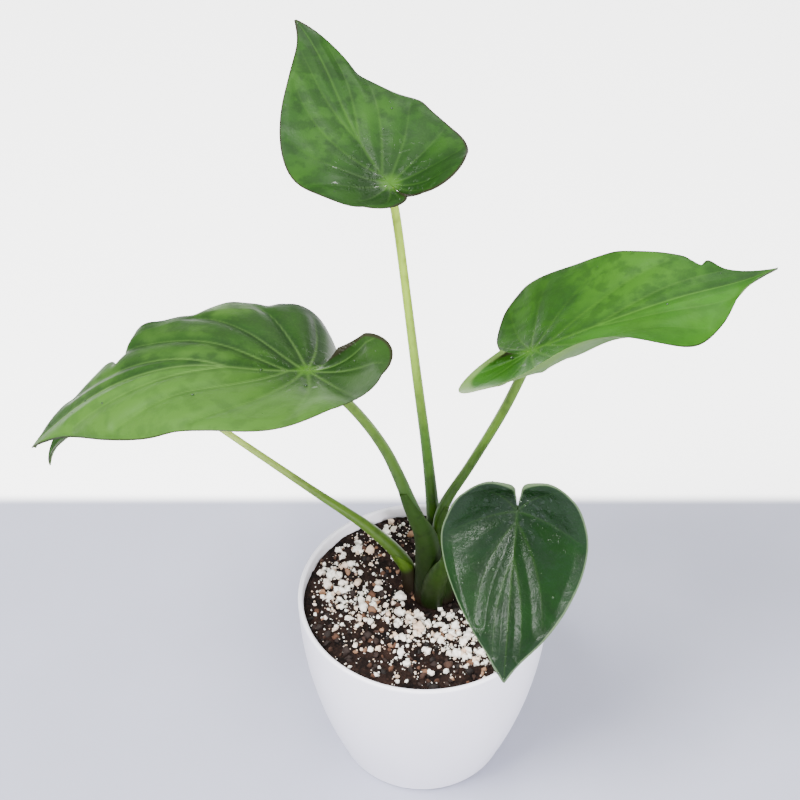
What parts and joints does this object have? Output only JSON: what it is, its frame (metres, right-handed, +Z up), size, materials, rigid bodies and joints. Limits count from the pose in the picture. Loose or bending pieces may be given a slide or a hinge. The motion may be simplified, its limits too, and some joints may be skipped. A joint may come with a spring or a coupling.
{
  "type": "potted plant",
  "caption": "Young potted aroid with glossy heart-shaped leaves on long petioles that spread from one crown, in a smooth round white pot of coarse potting mix.",
  "frame": {"origin": "centre of the pot's underside, where the pot stands", "axes": "+Z up along the pot's axis; +X to the right and -Y towards the viewer when the dark hanging leaf is at the front right"},
  "size_m": [0.2868, 0.1574, 0.3165],
  "materials": {
    "pot_white": "smooth satin white, plain, no print",
    "potting_mix": "damp dark brown peat and bark fines",
    "perlite": "matt cream-white expanded grains",
    "crown_green": "smooth dark green sheathing stem",
    "petiole_green": "smooth, dark green at the foot to yellow-green at the blade",
    "leaf_green": "glossy mid green with raised veins, wet around the hub",
    "leaf_dark": "glossy dark green, quilted between the veins, bluish sheen"
  },
  "bodies": {
    "root": {"pot": "pot_white", "crown": "crown_green", "soil": "potting_mix", "blade_top": "leaf_green", "petiole_top": "petiole_green", "blade_right": "leaf_green", "petiole_right": "petiole_green", "blade_left": "leaf_green", "petiole_left": "petiole_green", "blade_low_left": "leaf_green", "petiole_low_left": "petiole_green", "blade_front": "leaf_dark", "petiole_front": "petiole_green", "grain_01": "perlite", "grain_02": "perlite", "grain_03": "perlite", "grain_04": "perlite", "grain_05": "perlite", "grain_06": "perlite", "grain_07": "perlite", "grain_08": "perlite", "grain_09": "perlite", "grain_10": "perlite", "grain_11": "perlite", "grain_12": "perlite", "grain_13": "perlite", "grain_14": "perlite", "grain_15": "perlite", "grain_16": "perlite", "grain_17": "perlite", "grain_18": "perlite", "grain_19": "perlite", "grain_20": "perlite", "grain_21": "perlite", "grain_22": "perlite", "grain_23": "perlite", "grain_24": "perlite", "grain_25": "perlite", "grain_26": "perlite", "grain_27": "perlite", "grain_28": "perlite", "grain_29": "perlite", "grain_30": "perlite", "grain_31": "perlite", "grain_32": "perlite", "grain_33": "perlite", "grain_34": "perlite"}
  },
  "joints": []
}
